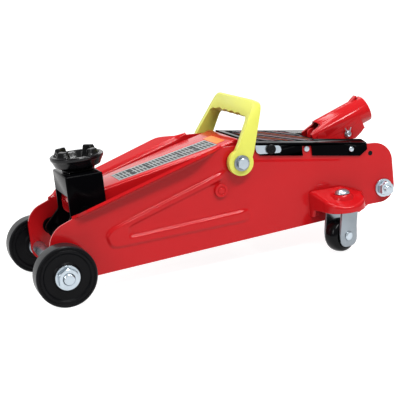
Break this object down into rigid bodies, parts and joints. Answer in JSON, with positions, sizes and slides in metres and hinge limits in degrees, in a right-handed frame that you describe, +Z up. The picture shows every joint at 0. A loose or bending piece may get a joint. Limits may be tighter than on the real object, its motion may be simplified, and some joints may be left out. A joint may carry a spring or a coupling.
{
  "type": "trolley jack",
  "caption": "Low-profile hydraulic trolley jack: lifting arm with swivelling saddle, red side plates, steel wheels, swivel casters, carry handle and pump-handle socket",
  "frame": {"origin": "centre of the bounding box's footprint, on the floor", "axes": "+X from the saddle end to the pump end, +Y to the jack's right side, +Z up"},
  "size_m": [0.4148, 0.21, 0.1686],
  "materials": {
    "red_paint": "gloss red paint on pressed steel",
    "gloss_black": "gloss black paint on steel",
    "satin_black": "satin black paint on cast steel",
    "black_plastic": "moulded black nylon",
    "lime_plastic": "moulded lime-yellow plastic, fine satin texture",
    "rubber": "black rubber",
    "cast_grey": "machined grey iron",
    "spring_steel": "oiled spring wire",
    "steel": "plain machined steel",
    "zinc": "bright zinc plating"
  },
  "bodies": {
    "frame": {"side_plate_right": "red_paint", "side_plate_left": "red_paint", "front_axle": "zinc", "axle_spacer_right": "zinc", "axle_spacer_left": "zinc", "axle_washer_right": "zinc", "axle_washer_left": "zinc", "axle_nut_right": "zinc", "axle_nut_left": "zinc", "pivot_shaft": "steel", "link_pivot_right": "red_paint", "link_pivot_left": "red_paint", "handle_washer_right": "zinc", "handle_washer_left": "zinc", "handle_bolt_right": "zinc", "handle_bolt_left": "zinc", "cover": "gloss_black", "cover_bumper_right": "black_plastic", "cover_bumper_left": "black_plastic", "cover_screw_right": "zinc", "cover_screw_left": "zinc", "spring_rod": "zinc", "ram_cylinder": "cast_grey", "oil_tank": "red_paint", "filler_plug": "rubber", "pump_block": "red_paint", "rear_washer_right": "zinc", "rear_washer_left": "zinc", "rear_bolt_right": "zinc", "rear_bolt_left": "zinc", "socket_pivot": "red_paint", "caster_bracket_right": "red_paint", "caster_bracket_left": "red_paint", "caster_stem_right": "zinc", "caster_stem_left": "zinc", "return_spring_right": "spring_steel", "return_spring_left": "spring_steel"},
    "front_wheel_right": {"front_wheel_right": "satin_black"},
    "front_wheel_left": {"front_wheel_left": "satin_black"},
    "arm": {"lift_arm": "red_paint", "crank_pin": "steel"},
    "saddle_mount": {"saddle_bracket": "gloss_black", "bracket_pin": "gloss_black", "link_pin": "gloss_black"},
    "saddle": {"saddle": "gloss_black"},
    "link_right": {"level_link_right": "gloss_black"},
    "link_left": {"level_link_left": "gloss_black"},
    "ram": {"piston_rod": "steel"},
    "handle": {"carry_handle": "lime_plastic"},
    "socket": {"handle_socket": "red_paint", "plunger_pin": "zinc"},
    "plunger": {"pump_plunger": "steel"},
    "valve": {"release_valve": "steel"},
    "caster_right": {"caster_fork_right": "zinc", "caster_axle_right": "zinc"},
    "caster_left": {"caster_fork_left": "zinc", "caster_axle_left": "zinc"},
    "caster_wheel_right": {"caster_wheel_right": "black_plastic"},
    "caster_wheel_left": {"caster_wheel_left": "black_plastic"}
  },
  "joints": [
    {"name": "lift", "type": "hinge", "parent": "frame", "child": "arm", "pos_m": [0.0219, 0, 0.1088], "axis": [0, 1, 0], "range_deg": [0, 82], "deforming": ["return_spring_right", "return_spring_left"]},
    {"name": "saddle_level", "type": "hinge", "parent": "arm", "child": "saddle_mount", "pos_m": [-0.1389, 0, 0.0806], "axis": [0, 1, 0], "range_deg": [-82, 0]},
    {"name": "saddle_swivel", "type": "hinge", "parent": "saddle_mount", "child": "saddle", "pos_m": [-0.1332, 0, 0.12], "axis": [0, 0, 1], "continuous": true},
    {"name": "link_swing_right", "type": "hinge", "parent": "frame", "child": "link_right", "pos_m": [-0.0004, 0.0475, 0.0823], "axis": [0, 1, 0], "range_deg": [0, 82]},
    {"name": "link_swing_left", "type": "hinge", "parent": "frame", "child": "link_left", "pos_m": [-0.0004, -0.0475, 0.0823], "axis": [0, 1, 0], "range_deg": [0, 82]},
    {"name": "ram_push", "type": "slide", "parent": "frame", "child": "ram", "axis": [-1, 0, 0], "range_m": [0, 0.0552]},
    {"name": "carry_swing", "type": "hinge", "parent": "frame", "child": "handle", "pos_m": [0.0219, 0, 0.1088], "axis": [0, 1, 0], "range_deg": [-40, 4]},
    {"name": "pump", "type": "hinge", "parent": "frame", "child": "socket", "pos_m": [0.1384, 0, 0.1115], "axis": [0, -1, 0], "range_deg": [-5, 35]},
    {"name": "plunge", "type": "slide", "parent": "frame", "child": "plunger", "axis": [0, 0, 1], "range_m": [-0.003, 0.0192]},
    {"name": "valve_turn", "type": "hinge", "parent": "frame", "child": "valve", "pos_m": [0.2034, 0.02, 0.064], "axis": [1, 0, 0], "range_deg": [0, 360]},
    {"name": "front_roll_right", "type": "hinge", "parent": "frame", "child": "front_wheel_right", "pos_m": [-0.1766, 0.0755, 0.0308], "axis": [0, 1, 0], "continuous": true},
    {"name": "front_roll_left", "type": "hinge", "parent": "frame", "child": "front_wheel_left", "pos_m": [-0.1766, -0.0755, 0.0308], "axis": [0, 1, 0], "continuous": true},
    {"name": "swivel_right", "type": "hinge", "parent": "frame", "child": "caster_right", "pos_m": [0.1256, 0.082, 0.04], "axis": [0, 0, 1], "continuous": true},
    {"name": "caster_roll_right", "type": "hinge", "parent": "caster_right", "child": "caster_wheel_right", "pos_m": [0.11808, 0.08474, 0.018], "axis": [0.342, 0.9397, 0], "continuous": true},
    {"name": "swivel_left", "type": "hinge", "parent": "frame", "child": "caster_left", "pos_m": [0.1256, -0.082, 0.04], "axis": [0, 0, 1], "continuous": true},
    {"name": "caster_roll_left", "type": "hinge", "parent": "caster_left", "child": "caster_wheel_left", "pos_m": [0.11808, -0.08474, 0.018], "axis": [-0.342, 0.9397, 0], "continuous": true}
  ],
  "couplings": [
    {"joint": "saddle_level", "follows": "lift", "ratio": -1},
    {"joint": "link_swing_right", "follows": "lift", "ratio": 1},
    {"joint": "link_swing_left", "follows": "lift", "ratio": 1},
    {"joint": "ram_push", "follows": "lift", "m_per_rad": 0.0385},
    {"joint": "plunge", "follows": "pump", "m_per_rad": 0.0306}
  ]
}
